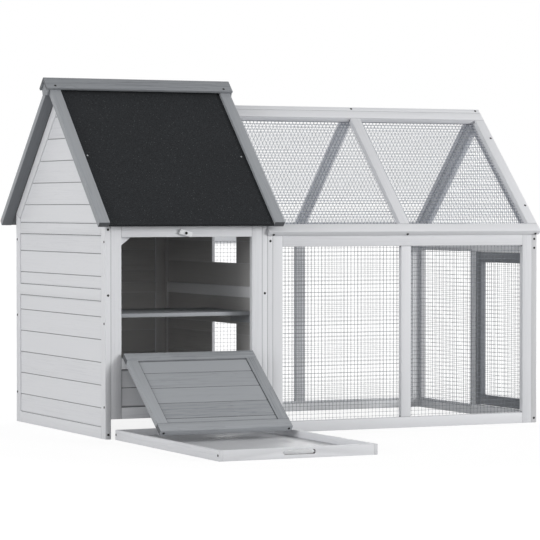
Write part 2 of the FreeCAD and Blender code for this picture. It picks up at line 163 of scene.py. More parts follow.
def paper_floor():
    """Pale paper that keeps a shadow near the object and fades to plain white away from it."""
    material, tree = new_material("studio_paper")
    place = put(tree, "ShaderNodeNewGeometry")
    reach = put(tree, "ShaderNodeVectorMath", {0: place.outputs["Position"]}, operation="LENGTH")
    fade = put(tree, "ShaderNodeMapRange", {
        "Value": reach.outputs["Value"], "From Min": SHADOW_REACH[0], "From Max": SHADOW_REACH[1],
        "To Min": FLOOR_WHITE, "To Max": 1.0})
    seen = looked_at(tree)
    share = put(tree, "ShaderNodeMath", {0: fade.outputs[0], 1: seen}, operation="MULTIPLY")
    tint = put(tree, "ShaderNodeMix", {0: seen, 6: linear("#A8A8A8"), 7: linear("#F2F2F2")}, data_type="RGBA")
    paper = put(tree, "ShaderNodeBsdfDiffuse", {"Color": tint.outputs[2]})
    white = put(tree, "ShaderNodeEmission", {"Strength": PAPER_GLOW})
    mixed = put(tree, "ShaderNodeMixShader", {0: share.outputs[0], 1: paper.outputs[0], 2: white.outputs[0]})
    put(tree, "ShaderNodeOutputMaterial", {"Surface": mixed.outputs[0]})
    return material


disc = bmesh.new()
bmesh.ops.create_circle(disc, cap_ends=True, segments=FLOOR_SIDES, radius=FLOOR_RADIUS)
floor_mesh = bpy.data.meshes.new("studio_floor")
disc.to_mesh(floor_mesh)
disc.free()
floor_mesh.materials.append(paper_floor())
floor = shown("studio_floor", floor_mesh)
floor.location.z = -FLOOR_DROP
print("floor disc", FLOOR_RADIUS, "m")

# %% World and lamps
SKY_LIGHT = {"horizon": 0.85, "overhead": 0.28}
LAMPS = {
    "left_lamp": {"place": (-6.8, -1.0, 1.7), "size": 3.0, "power": 150.0},
    "right_lamp": {"place": (8.0, -9.0, 2.5), "size": 5.0, "power": 745.0},
    "back_lamp": {"place": (3.0, 5.5, 2.4), "size": 3.2, "power": 150.0},
}
AIM = Vector((0.0, 0.0, 0.5))

world = bpy.data.worlds.new("studio")
world.use_nodes = True
dome = world.node_tree
dome.nodes.clear()
upward = put(dome, "ShaderNodeTexCoord").outputs["Generated"]
upward = put(dome, "ShaderNodeSeparateXYZ", {0: upward}).outputs["Z"]
glow = put(dome, "ShaderNodeMapRange", {
    "Value": upward, "To Min": SKY_LIGHT["horizon"], "To Max": SKY_LIGHT["overhead"]})
level = put(dome, "ShaderNodeMix", {0: looked_at(dome), 2: glow.outputs[0], 3: 1.0})
sky = put(dome, "ShaderNodeBackground", {"Color": linear("#FFFFFF"), "Strength": level.outputs[0]})
put(dome, "ShaderNodeOutputWorld", {"Surface": sky.outputs[0]})
bpy.context.scene.world = world

for name, lamp in LAMPS.items():
    data = bpy.data.lights.new(name, "AREA")
    data.shape = "DISK"
    data.size = lamp["size"]
    data.energy = lamp["power"]
    shining = shown(name, data)
    shining.location = lamp["place"]
    shining.rotation_euler = (AIM - Vector(lamp["place"])).to_track_quat("-Z", "Y").to_euler()
print(len(LAMPS), "lamps")

# %% [markdown]
# ## Painted softwood
#
# The sticks are planed spruce, finger-jointed here and there and sprayed with a thin paint. It hides the
# colour of the wood but not its relief: long streaks of late wood, a few knots and a soft sheen are left. An
# image could give this, but a noise stretched along each stick works at any size. Every stick carries its own
# coordinates in an attribute called grain, whose first axis runs along the timber, so no two sticks share a
# figure. Cut ends are drawn darker, so they have an attribute of their own.

# %% Figure of the wood
GRAIN_REACH = 40.0
STREAK = (260 * MM, 3.2 * MM)
LATE_WOOD = (0.5, 0.74)
FIGURE = (420 * MM, 16 * MM)
RINGS = {"count": 9.0, "edge": 0.62, "share": 0.55}
KNOT_SPACING = (330 * MM, 75 * MM)
KNOT_SIZE = 5.5 * MM
BLOCK_LENGTH = 170 * MM
BLOCK_TONE = 0.14
FINGER_JOINTED = (0.7, 0.8)
BOARD_TONE = (-0.10, 0.16)


def scaled(tree, source, along, across):
    """Grain coordinates divided by a pattern's real length and width."""
    scale = (1 / along, 1 / across, 1 / across)
    return put(tree, "ShaderNodeMapping", {"Vector": source, "Scale": scale}).outputs[0]


def wood_figure(tree, grain):
    """The share of late wood from streaks, growth rings and knots, and the streaks alone."""
    streak = put(tree, "ShaderNodeTexNoise", {
        "Vector": scaled(tree, grain, *STREAK), "Scale": 1.0, "Detail": 3.0, "Roughness": 0.6})
    figure = put(tree, "ShaderNodeTexNoise", {
        "Vector": scaled(tree, grain, *FIGURE), "Scale": 1.0, "Detail": 2.0, "Distortion": 0.6})
    rings = put(tree, "ShaderNodeMath", {0: figure.outputs[0], 1: RINGS["count"]}, operation="MULTIPLY")
    rings = put(tree, "ShaderNodeMath", {0: rings.outputs[0]}, operation="FRACT")
    rings = put(tree, "ShaderNodeMapRange", {
        "Value": rings.outputs[0], "From Min": RINGS["edge"], "From Max": 1.0},
        interpolation_type="SMOOTHSTEP")
    late = put(tree, "ShaderNodeMapRange", {
        "Value": streak.outputs[0], "From Min": LATE_WOOD[0], "From Max": LATE_WOOD[1]})
    wood = put(tree, "ShaderNodeMath", {0: rings.outputs[0], 1: RINGS["share"], 2: late.outputs[0]},
               operation="MULTIPLY_ADD", use_clamp=True)
    knots = put(tree, "ShaderNodeTexVoronoi", {"Vector": scaled(tree, grain, *KNOT_SPACING), "Scale": 1.0})
    knot = put(tree, "ShaderNodeMapRange", {
        "Value": knots.outputs["Distance"], "From Max": KNOT_SIZE / KNOT_SPACING[1], "To Min": 1.0,
        "To Max": 0.0}, interpolation_type="SMOOTHSTEP")
    wood = put(tree, "ShaderNodeMath", {0: wood.outputs[0], 1: knot.outputs[0]}, operation="MAXIMUM")
    return wood.outputs[0], streak.outputs[0]


def board_tone(tree, grain, board):
    """How dark a stick is as a whole; a finger-jointed one is made of blocks of different tones."""
    tone = put(tree, "ShaderNodeMapRange", {"Value": board, "To Min": BOARD_TONE[0], "To Max": BOARD_TONE[1]})
    block = scaled(tree, grain, BLOCK_LENGTH, GRAIN_REACH)
    block = put(tree, "ShaderNodeVectorMath", {0: block}, operation="FLOOR")
    block = put(tree, "ShaderNodeTexWhiteNoise", {"Vector": block.outputs[0]})
    jointed = put(tree, "ShaderNodeMapRange", {
        "Value": board, "From Min": FINGER_JOINTED[0], "From Max": FINGER_JOINTED[1], "To Max": BLOCK_TONE})
    tone = put(tree, "ShaderNodeMath", {
        0: block.outputs["Value"], 1: jointed.outputs[0], 2: tone.outputs[0]}, operation="MULTIPLY_ADD")
    return tone.outputs[0]


print("streaks", round(STREAK[1] / MM, 1), "mm wide, knots", round(KNOT_SIZE / MM, 1), "mm")

# %% [markdown]
# The white wash is thin and pale grey rather than white, and the greys of ramp and roof trim differ, because
# they were sprayed apart; the run door's darker grey is painted shade. Some recipes are painted light and
# shade for the second materials. Each recipe names the wood, the paint, its shade over late wood, its colour
# on cut ends and in grooves, joints and rims, where dust and painted shade darken it, how strongly the wood
# shows through, and the roughness.

# %% Paints
FIGURED = (0.4, 1.6)
DUST_AND_SHADE_CURVE = 0.9
PORE = (65 * MM, 0.9 * MM)
WOOD_RELIEF = {"wood": 0.6, "strength": 0.22, "depth": 0.5 * MM}
SHEEN_SPREAD = (-0.08, 0.1)
PAINT_IOR = 1.46
PAINT_SPECULAR = 0.35


def painted_softwood(name, paint, shade, ends, groove, depth, roughness):
    """Paint over planed spruce: shade is its colour over late wood, depth how strongly the wood shows."""
    material, tree = new_material(name)
    grain = put(tree, "ShaderNodeAttribute", attribute_name="grain").outputs["Vector"]
    board = put(tree, "ShaderNodeAttribute", attribute_name="board").outputs["Fac"]
    seam = put(tree, "ShaderNodeAttribute", attribute_name="seam").outputs["Fac"]
    cut = put(tree, "ShaderNodeAttribute", attribute_name="end_grain").outputs["Fac"]
    wood, streak = wood_figure(tree, grain)

    figured = put(tree, "ShaderNodeMapRange", {
        "Value": board, "To Min": FIGURED[0] * depth, "To Max": FIGURED[1] * depth})
    show = put(tree, "ShaderNodeMath", {0: wood, 1: figured.outputs[0], 2: board_tone(tree, grain, board)},
               operation="MULTIPLY_ADD", use_clamp=True)
    # Dust and painted shade in grooves, joints and rims darken the paint towards the groove colour.
    dust_and_shade_share = put(tree, "ShaderNodeMath", {0: seam, 1: DUST_AND_SHADE_CURVE}, operation="POWER", use_clamp=True)
    colour = linear(paint)
    for share, over in ((show.outputs[0], shade), (cut, ends), (dust_and_shade_share.outputs[0], groove)):
        layer = put(tree, "ShaderNodeMix", {0: share, 6: colour, 7: linear(over)}, data_type="RGBA")
        colour = layer.outputs[2]

    pores = scaled(tree, grain, *PORE)
    pores = put(tree, "ShaderNodeTexNoise", {"Vector": pores, "Scale": 1.0, "Detail": 2.0})
    relief = put(tree, "ShaderNodeMath", {0: wood, 1: WOOD_RELIEF["wood"], 2: pores.outputs[0]},
                 operation="MULTIPLY_ADD")
    bump = put(tree, "ShaderNodeBump", {
        "Height": relief.outputs[0], "Strength": WOOD_RELIEF["strength"], "Distance": WOOD_RELIEF["depth"]})
    sheen = put(tree, "ShaderNodeMapRange", {
        "Value": streak, "To Min": roughness + SHEEN_SPREAD[0], "To Max": roughness + SHEEN_SPREAD[1]})
    surface = put(tree, "ShaderNodeBsdfPrincipled", {
        "Base Color": colour, "Roughness": sheen.outputs[0], "Normal": bump.outputs[0],
        "IOR": PAINT_IOR, "Specular IOR Level": PAINT_SPECULAR})
    put(tree, "ShaderNodeOutputMaterial", {"Surface": surface.outputs[0]})
    return material


RECIPES = {
    "white_paint": ("white_washed_spruce", "#E4E5E8", "#D0D1D5", "#DCDDE0", "#55575B", 0.28, 0.58),
    "button_paint": ("white_gloss_beech", "#EDEEF0", "#DCDEE1", "#E1E3E6", "#77797D", 0.2, 0.45),
    # Painted shade: a darker wash on the faces that look into the house.
    "inside_shade": ("thinly_washed_spruce", "#C8C7C6", "#B2B1B0", "#B5B4B4", "#4A4B4E", 0.3, 0.68),
    # Painted light: a lighter wash on faces in the run, under its rafters and on the partition's rails.
    "run_light": ("twice_washed_spruce", "#F6F7F9", "#E6E7EA", "#DCDDE0", "#55575B", 0.28, 0.58),
    # A little darker than the white wash, on the front faces of the end stiles.
    "darker_front_face": ("washed_sawn_edge", "#D0D0D2", "#BDBEC1", "#BDBEC1", "#55575B", 0.28, 0.62),
    "grey_paint": ("grey_painted_spruce", "#A3A6AA", "#7C7F83", "#5A5C5F", "#26282B", 0.45, 0.56),
    "strip_paint": ("grey_painted_strip", "#9DA0A4", "#84878B", "#55575A", "#2E3033", 0.4, 0.56),
    # Painted shade: a dark colour on the inner faces of the tray's handle slot.
    "slot_shade": ("routed_spruce", "#737170", "#646261", "#646261", "#55575B", 0.3, 0.7),
    # Painted shade: a darker grey on the downward faces of the roof strips.
    "strip_shade": ("thinly_painted_strip", "#7C7F83", "#66696D", "#55575A", "#2E3033", 0.4, 0.62),
    # Painted shade: the run door has the ramp's grey, made darker for the shade inside the run.
    "door_shade": ("grey_painted_door", "#878A8E", "#6E7175", "#55575A", "#26282B", 0.45, 0.56),
    "trim_paint": ("dark_grey_trim_spruce", "#919498", "#6B6E72", "#55575A", "#2E3033", 0.5, 0.56),
    "deck_board": ("painted_plywood", "#77797C", "#5C5E61", "#55575A", "#2E3033", 0.6, 0.66),
    "tray_sheet": ("painted_tray_sheet", "#CACBCE", "#B9BBBE", "#AFB1B5", "#55575B", 0.35, 0.5),
}
PAINTS = {paint: painted_softwood(*recipe) for paint, recipe in RECIPES.items()}
print(len(PAINTS), "paints")

# %% [markdown]
# ## Roofing felt
#
# The roof is bitumen felt, rolled with crushed slate: almost black, quite dead to light, with a sandpaper
# surface and a few pale grains. Real grit is under a millimetre, too fine for the picture, so it is drawn at
# about 2.5 mm.

# %% Roofing felt
GRIT = 2.5 * MM
GRIT_SPREAD = (0.35, 0.75)
GRIT_RELIEF = {"strength": 0.7, "depth": 0.8 * MM}
FLECK_SPACING = 11 * MM
FLECK = 1.3 * MM
FLECK_SHARE = 0.38
ROLL_MARK = 160 * MM
ROLL_TONE = (0.86, 1.12)
FELT_ROUGHNESS = 0.93
FELT_SPECULAR = 0.2


def mineral_felt():
    """Slate grit on bitumen."""
    material, tree = new_material("slate_grit_felt")
    place = put(tree, "ShaderNodeTexCoord").outputs["Object"]
    grit = put(tree, "ShaderNodeTexNoise", {
        "Vector": place, "Scale": 1 / GRIT, "Detail": 2.0, "Roughness": 0.7})
    fine = put(tree, "ShaderNodeMapRange", {
        "Value": grit.outputs[0], "From Min": GRIT_SPREAD[0], "From Max": GRIT_SPREAD[1]})
    colour = put(tree, "ShaderNodeMix", {0: fine.outputs[0], 6: linear("#1A1C1E"), 7: linear("#383A3D")},
                 data_type="RGBA")
    cloud = put(tree, "ShaderNodeTexNoise", {"Vector": place, "Scale": 1 / ROLL_MARK, "Detail": 3.0})
    cloud = put(tree, "ShaderNodeMapRange", {
        "Value": cloud.outputs[0], "To Min": ROLL_TONE[0], "To Max": ROLL_TONE[1]})
    colour = put(tree, "ShaderNodeVectorMath", {0: colour.outputs[2], "Scale": cloud.outputs[0]},
                 operation="SCALE")
    flecks = put(tree, "ShaderNodeTexVoronoi", {"Vector": place, "Scale": 1 / FLECK_SPACING})
    fleck = put(tree, "ShaderNodeMath", {0: flecks.outputs["Distance"], 1: FLECK / FLECK_SPACING},
                operation="LESS_THAN")
    fleck = put(tree, "ShaderNodeMath", {0: fleck.outputs[0], 1: FLECK_SHARE}, operation="MULTIPLY")
    colour = put(tree, "ShaderNodeMix", {0: fleck.outputs[0], 6: colour.outputs[0], 7: linear("#6C6E6F")},
                 data_type="RGBA")
    bump = put(tree, "ShaderNodeBump", {
        "Height": grit.outputs[0], "Strength": GRIT_RELIEF["strength"], "Distance": GRIT_RELIEF["depth"]})
    surface = put(tree, "ShaderNodeBsdfPrincipled", {
        "Base Color": colour.outputs[2], "Roughness": FELT_ROUGHNESS, "Normal": bump.outputs[0],
        "Specular IOR Level": FELT_SPECULAR})
    put(tree, "ShaderNodeOutputMaterial", {"Surface": surface.outputs[0]})
    return material


felt = mineral_felt()
print("felt grit drawn at", GRIT / MM, "mm")

# %% [markdown]
# ## Metals
#
# Hot-dip zinc gives the mesh of the walls a dull grey with pale and dark spangles, and the mesh of the roof
# is a little brighter. Hinges are bright zinc plate. The screws are black phosphated, which reads as small
# dark dots on the white timber. All four are the same recipe with other numbers: a metal whose colour and
# gloss are mottled by a noise.

# %% Metals
MOTTLE_SPREAD = (0.35, 0.65)
GLOSS_SPREAD = (-0.1, 0.12)
COAT_RELIEF = {"strength": 0.08, "depth": 0.1 * MM}


def mottled_metal(name, light, dark, mottle, roughness, metallic):
    """A metal with a mottled coat; mottle is the size of its patches."""
    material, tree = new_material(name)
    place = put(tree, "ShaderNodeTexCoord").outputs["Object"]
    patch = put(tree, "ShaderNodeTexNoise", {"Vector": place, "Scale": 1 / mottle, "Detail": 2.0}).outputs[0]
    share = put(tree, "ShaderNodeMapRange", {
        "Value": patch, "From Min": MOTTLE_SPREAD[0], "From Max": MOTTLE_SPREAD[1]})
    colour = put(tree, "ShaderNodeMix", {0: share.outputs[0], 6: linear(dark), 7: linear(light)},
                 data_type="RGBA")
    gloss = put(tree, "ShaderNodeMapRange", {
        "Value": patch, "To Min": roughness + GLOSS_SPREAD[0], "To Max": roughness + GLOSS_SPREAD[1]})
    bump = put(tree, "ShaderNodeBump", {
        "Height": patch, "Strength": COAT_RELIEF["strength"], "Distance": COAT_RELIEF["depth"]})
    surface = put(tree, "ShaderNodeBsdfPrincipled", {
        "Base Color": colour.outputs[2], "Metallic": metallic, "Roughness": gloss.outputs[0],
        "Normal": bump.outputs[0]})
    put(tree, "ShaderNodeOutputMaterial", {"Surface": surface.outputs[0]})
    return material


netting = mottled_metal("hot_dip_zinc_wire", "#82868D", "#686C73", 9 * MM, 0.5, 0.75)
roof_netting = mottled_metal("bright_zinc_wire", "#989EAA", "#767C88", 9 * MM, 0.5, 0.75)
plated = mottled_metal("zinc_plated_steel", "#B9BCBF", "#8E9194", 4 * MM, 0.36, 1.0)
phosphate = mottled_metal("black_phosphated_steel", "#1B1A19", "#0E0E0D", 2 * MM, 0.75, 0.0)
print("metals:", netting.name, roof_netting.name, plated.name, phosphate.name)

# %% [markdown]
# ## Sticks of timber
#
# A node holds several sticks as loose triangles. Each solid is copied and merged by itself, so that two
# boards that touch stay two boards. All of them then go into one search tree, which later tells which edges
# lie against another stick.

# %% Sort the timber by its finish
WHITE = ["left_wall_stiles", "left_wall_rails", "left_wall_rafters", "left_wall_boards", "partition_stiles",
         "partition_rails", "partition_rafters", "partition_boards", "house_front_stiles",
         "house_front_rails", "house_front_boards", "house_back_stiles", "house_back_rails",
         "house_back_boards", "corner_brace", "tray_front", "tray_back", "tray_sides", "run_left_posts",
         "run_front_stiles", "run_front_rails", "run_back_stiles", "run_back_rails", "run_end_stiles",
         "run_end_rails", "run_end_rafters", "run_roof_rails", "run_roof_rafters"]
GREY = ["shelf_panel", "shelf_cleats", "ramp_stiles", "ramp_rails", "ramp_boards"]

finishes = {node: "white_paint" for node in WHITE}
finishes.update({node: "grey_paint" for node in GREY})
finishes.update({
    "run_door_stiles": "door_shade", "run_door_rails": "door_shade", "rake_strips": "strip_paint",
    "ridge_cap": "trim_paint", "ridge_end_plates": "trim_paint", "roof_deck": "deck_board",
    "tray_floor": "tray_sheet", "front_turn_button": "button_paint", "run_turn_button": "button_paint"})
print(len(finishes), "timber nodes")

# %% Closed solids
MERGE = 0.002 * MM


def solids(node):
    """A node's triangles as closed solids: one follows another, so each ends where no edge is open."""
    mesh = frame["nodes"][node].data
    found, corners, open_edges = [bmesh.new()], {}, set()
    for triangle in mesh.polygons:
        places = [mesh.vertices[i].co for i in triangle.vertices]
        keys = [tuple(round(c / MERGE) for c in place) for place in places]
        if len(set(keys)) < 3:
            continue
        if not open_edges and corners:
            found.append(bmesh.new())
            corners = {}
        for key, place in zip(keys, places):
            if key not in corners:
                corners[key] = found[-1].verts.new(place)
        found[-1].faces.new([corners[key] for key in keys])
        for edge in zip(keys, keys[1:] + keys[:1]):
            if edge[::-1] in open_edges:
                open_edges.remove(edge[::-1])
            else:
                open_edges.add(edge)
    return found


sticks, numbers = [], {}
for node in finishes:
    found = solids(node)
    numbers[node] = range(len(sticks), len(sticks) + len(found))
    sticks += found
print(len(sticks), "sticks")

# %% Search tree
def search_tree(sticks):
    """All sticks in one search tree, and the stick that each of its triangles belongs to."""
    places, triangles, owners = [], [], []
    for number, stick in enumerate(sticks):
        stick.verts.index_update()
        first = len(places)
        places += [vert.co.copy() for vert in stick.verts]
        triangles += [[first + vert.index for vert in face.verts] for face in stick.faces]
        owners += [number] * len(stick.faces)
    return BVHTree.FromPolygons(places, triangles), owners


around, owners = search_tree(sticks)
print(len(owners), "triangles in the search tree")

# %% [markdown]
# ## Eased edges and grain
#
# Planed timber has its arrises rubbed off, or the paint would not hold there. A stick's flat faces are
# joined, and a small bevel rolls over every square edge. Its long axis comes from its own longest edge, and
# the grain follows it. The V joints between boards keep their modelled slopes, and their depth is marked in
# an attribute called seam, which darkens the paint there with dust and painted shade.

# %% Eased edges and grain
SQUARE_EDGE = math.radians(60)
FLAT = math.radians(0.4)
BEVEL_STEPS = 2
END_FACE = 0.95
V_SLOPE = (0.6, 0.8)
V_LEVEL = 0.1
V_BOTTOM = 0.1 * MM
rng = random.Random(11)


def stick_axes(stick):
    """Directions along, across and through a stick."""
    longest = max(stick.edges, key=lambda edge: edge.calc_length())
    along = (longest.verts[1].co - longest.verts[0].co).normalized()
    broad = max(stick.faces, key=lambda face: face.calc_area() * (1 - abs(face.normal.dot(along))))
    through = broad.normal.copy()
    return along, through.cross(along).normalized(), through


def eased(stick, ease):
    """Join a solid's flat faces and roll its square edges over; returns the rolled faces."""
    stick.normal_update()
    bmesh.ops.dissolve_limit(stick, angle_limit=FLAT, verts=stick.verts, edges=stick.edges)
    square = [edge for edge in stick.edges
              if len(edge.link_faces) == 2 and edge.calc_face_angle() > SQUARE_EDGE]
    return bmesh.ops.bevel(stick, geom=square, offset=ease, segments=BEVEL_STEPS, profile=0.5,
                           affect="EDGES", clamp_overlap=True)["faces"]


def in_v_joint(face, along, across):
    """Whether a face is a slope of a V joint."""
    slopes = V_SLOPE[0] < abs(face.normal.dot(across)) < V_SLOPE[1]
    return slopes and abs(face.normal.dot(along)) < V_LEVEL


def mark_grain(stick):
    """Give a stick its own grain coordinates and tone, and mark its cut ends and V joints; returns the
    direction that the V joints face, which is zero on a stick without them."""
    grain = stick.verts.layers.float_vector.new("grain")
    tone = stick.verts.layers.float.new("board")
    seam = stick.loops.layers.float.new("seam")
    cut = stick.loops.layers.float.new("end_grain")
    along, across, through = axes = stick_axes(stick)
    shift = Vector([rng.uniform(0, GRAIN_REACH) for axis in axes])
    level = rng.random()
    widths = [vert.co.dot(across) for vert in stick.verts]
    edges = (min(widths), max(widths))
    facing = Vector()
    for vert in stick.verts:
        vert[grain] = Vector([vert.co.dot(axis) for axis in axes]) + shift
        vert[tone] = level
    for face in stick.faces:
        # Cut ends are marked to be drawn darker.
        if abs(face.normal.dot(along)) > END_FACE:
            for loop in face.loops:
                loop[cut] = 1.0
        # The bottom of a V joint is darkened by dust and painted shade in the crease.
        if in_v_joint(face, along, across):
            facing += through * face.normal.dot(through)
            for loop in face.loops:
                place = loop.vert.co.dot(across)
                loop[seam] = 1.0 if min(abs(place - edge) for edge in edges) < V_BOTTOM else 0.0
    return facing.normalized()


print("edges over", round(math.degrees(SQUARE_EDGE)), "degrees are eased")

# %% [markdown]
# ## Dust and painted shade
#
# Where a rolled edge lies against another stick, the joint shows as a fine line of dust and painted shade. On
# some panels a painted shadow of the frame also lies on the boards themselves, in a narrow rim along the
# frame. The search tree finds both.

# %% Dust and painted shade
JOINT_REACH = 0.6 * MM
# How dark the rolled edges of a joint get, from dust and painted shade.
JOINT_SHADE_AND_DUST = 0.4
RIM = {"end": 4.0 * MM, "edge": 7.0 * MM}
RIM_REACH = 4 * JOINT_REACH
RIM_SLACK = 10 * MERGE
OUTER_SIDE = 0.5


def mark_joints(stick, rolled, number, outer):
    """Dust and painted shade on rolled edges that lie against another stick, not on the back of a board."""
    seam = stick.loops.layers.float["seam"]
    for face in rolled:
        if face.normal.dot(outer) < 0:
            continue
        near = around.find_nearest_range(face.calc_center_median(), JOINT_REACH)
        if any(owners[index] != number for place, normal, index, distance in near):
            for loop in face.loops:
                loop[seam] = JOINT_SHADE_AND_DUST


def shade_rim(stick, outer, family, rim_shade):
    """Painted shadow on a board's face along the frame, and painted shade in the ends of its V joints."""
    along, across = stick_axes(stick)[:2]
    seam = stick.loops.layers.float["seam"]
    sides = [(along, RIM["end"]), (-along, RIM["end"]), (across, RIM["edge"]), (-across, RIM["edge"])]
    for side, width in sides:
        reach = max(vert.co.dot(side) for vert in stick.verts)
        rim = [vert.co for vert in stick.verts if vert.co.dot(side) > reach - RIM_SLACK]
        near = around.find_nearest_range(sum(rim, Vector()) / len(rim), RIM_REACH)
        if all(owners[index] in family for place, normal, index, distance in near):
            continue
        everything = stick.verts[:] + stick.edges[:] + stick.faces[:]
        bmesh.ops.bisect_plane(stick, geom=everything, plane_co=side * (reach - width), plane_no=side)
        stick.normal_update()
        for face in stick.faces:
            inner = min(vert.co.dot(side) for vert in face.verts)
            if face.normal.dot(outer) < OUTER_SIDE or inner < reach - width - MERGE:
                continue
            groove = in_v_joint(face, along, across)
            for loop in face.loops:
                if groove:
                    loop[seam] = 1.0
                elif loop.vert.co.dot(side) > reach - width / 2:
                    loop[seam] = max(loop[seam], rim_shade)


print("dust within", round(JOINT_REACH / MM, 1), "mm of another stick")

# %% [markdown]
# ## Second materials: painted light and shade
#
# The faces that look into the house, the undersides of the roof strips and the inside of the tray's handle
# slot are darker: this is painted shade. The faces that look into the run, the undersides of the run's
# rafters and the house side of the partition's rails are lighter: this is painted light. The front faces of
# the end stiles are a little darker. So these sticks have a second material on the faces that point one way.

# %% Second materials: painted light and shade
FRONT, BACK, LEFT, RIGHT, DOWN = (0, -1, 0), (0, 1, 0), (-1, 0, 0), (1, 0, 0), (0, 0, -1)
DOWN_SLOPE = (0, -1, -1)
# Painted shade and painted light on the faces that point one way; the recipes say which.
SECOND_MATERIALS = {
    "left_wall_boards": ("inside_shade", RIGHT), "partition_boards": ("inside_shade", LEFT),
    "partition_stiles": ("inside_shade", LEFT), "house_front_boards": ("inside_shade", BACK),
    "house_back_boards": ("inside_shade", FRONT), "house_back_stiles": ("inside_shade", FRONT),
    "house_back_rails": ("inside_shade", FRONT), "partition_rails": ("run_light", LEFT),
    "run_back_stiles": ("run_light", FRONT), "run_back_rails": ("run_light", FRONT),
    "run_end_rails": ("run_light", LEFT), "run_roof_rafters": ("run_light", DOWN_SLOPE),
    "run_end_stiles": ("darker_front_face", FRONT), "rake_strips": ("strip_shade", DOWN),
    "tray_front": ("slot_shade", None),
}
UNDERSIDE = 0.5
SLOT_CLEAR = 3 * MM
SLOT_ROUND = 0.9


def second_faces(node, stick):
    """The faces of a stick that take its second material; the tray's slot is found by its place."""
    if node == "tray_front":
        low, high = [edge.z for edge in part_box(node)]
        return [face for face in stick.faces
                if abs(face.normal.y) < SLOT_ROUND and abs(face.normal.x) < END_FACE
                and low + SLOT_CLEAR < face.calc_center_median().z < high - SLOT_CLEAR]
    towards = Vector(SECOND_MATERIALS[node][1]).normalized()
    least = UNDERSIDE if node == "rake_strips" else END_FACE
    faces = [face for face in stick.faces if face.normal.dot(towards) > least]
    if node == "partition_stiles":
        middle = sum(edge.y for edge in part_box(node)) / 2
        faces += [face for face in stick.faces
                  if face.normal.y < -END_FACE and face.calc_center_median().y > middle]
    return faces


# Most of these second materials are painted light and shade.
print(len(SECOND_MATERIALS), "nodes have a second coat")

# %% Dress the timber
PAINT_SLOT = {"trim_paint": "grey_paint", "strip_paint": "grey_paint", "door_shade": "grey_paint",
              "button_paint": "white_paint"}
# Painted shadow of the frame's step on the boards, in a rim along the frame.
RIM_SHADOW = {"ramp_boards": 0.9, "house_front_boards": 0.85, "left_wall_boards": 0.2}
CLEAN_JOINTS = ("tray_front", "tray_sides")
FRAME_EASE = 0.9 * MM
BOARD_EASE = 0.5 * MM
SHARP = math.radians(32)


def settle(piece, slot, *nodes):
    """Tie a finished piece to its body and hide the nodes that it stands for; slot is not used."""
    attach(piece, HOME[nodes[0]])
    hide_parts(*nodes)


def timber(node, paint, ease):
    """Eased, grained copies of a timber node's sticks, as one piece; returns its count of faces."""
    whole = bmesh.new()
    for number in numbers[node]:
        stick = sticks[number]
        rolled = eased(stick, ease)
        outer = mark_grain(stick)
        if node not in CLEAN_JOINTS:
            mark_joints(stick, rolled, number, outer)
        if node in RIM_SHADOW:
            shade_rim(stick, outer, numbers[node], RIM_SHADOW[node])
        if node in SECOND_MATERIALS:
            for face in second_faces(node, stick):
                face.material_index = 1
        single = bpy.data.meshes.new("stick")
        stick.to_mesh(single)
        stick.free()
        whole.from_mesh(single)
        bpy.data.meshes.remove(single)
    mesh = bpy.data.meshes.new(node + "_painted")
    whole.to_mesh(mesh)
    whole.free()
    mesh.shade_smooth()
    mesh.set_sharp_from_angle(angle=SHARP)
    mesh.materials.append(PAINTS[paint])
    if node in SECOND_MATERIALS:
        mesh.materials.append(PAINTS[SECOND_MATERIALS[node][0]])
    settle(shown(mesh.name, mesh), PAINT_SLOT.get(paint, paint), node)
    return len(mesh.polygons)


faces = sum(timber(node, paint, BOARD_EASE if "boards" in node else FRAME_EASE)
            for node, paint in finishes.items())
print(faces, "faces of timber")

# %% [markdown]
# ## Welded mesh
#
# The run is closed with welded mesh: straight wires at half an inch, the level ones lying on the upright
# ones. From a distance the sheets of the two roof slopes cross into a pattern like hexagons, but each is
# square. It repeats without end, so Geometry Nodes draw it: a row of points, one wire on each point, and a
# noise that bends the sheet by less than a millimetre, as a real one is bent. The sheet is drawn flat in its
# own plane, cut to the outline of the solid sheet and then laid in place.

# %% Welded mesh tree
WIRE_SIDES = 5
WIRE_STEPS = 14
BEND_LENGTH = 170 * MM
SWAY = 1 / 3


def start_tree(name, inputs):
    """A node tree with named inputs; returns the tree, its inputs' identifiers and the input node."""
    tree = bpy.data.node_groups.new(name, "GeometryNodeTree")
    tree.interface.new_socket(name="Geometry", in_out="INPUT", socket_type="NodeSocketGeometry")
    tree.interface.new_socket(name="Geometry", in_out="OUTPUT", socket_type="NodeSocketGeometry")
    sockets = {label: tree.interface.new_socket(name=label, in_out="INPUT", socket_type="NodeSocket" + kind)
               for label, kind in inputs.items()}
    identifiers = {label: socket.identifier for label, socket in sockets.items()}
    return tree, identifiers, put(tree, "NodeGroupInput")


def end_tree(tree, geometry_socket, material_socket):
    """Every tree ends in real faces with a material."""
    real = put(tree, "GeometryNodeRealizeInstances", {"Geometry": geometry_socket})
    painted = put(tree, "GeometryNodeSetMaterial", {"Geometry": real.outputs[0], "Material": material_socket})
    put(tree, "NodeGroupOutput", {"Geometry": painted.outputs[0]})


def bent(tree, shape, amount):
    """Push a sheet inward by a slow noise."""
    place = put(tree, "GeometryNodeInputPosition").outputs[0]
    wave = put(tree, "ShaderNodeTexNoise", {"Vector": place, "Scale": 1 / BEND_LENGTH, "Detail": 1.0})
    push = put(tree, "ShaderNodeVectorMath", {0: wave.outputs["Color"], 1: amount}, operation="MULTIPLY")
    return put(tree, "GeometryNodeSetPosition", {"Geometry": shape, "Offset": push.outputs[0]}).outputs[0]


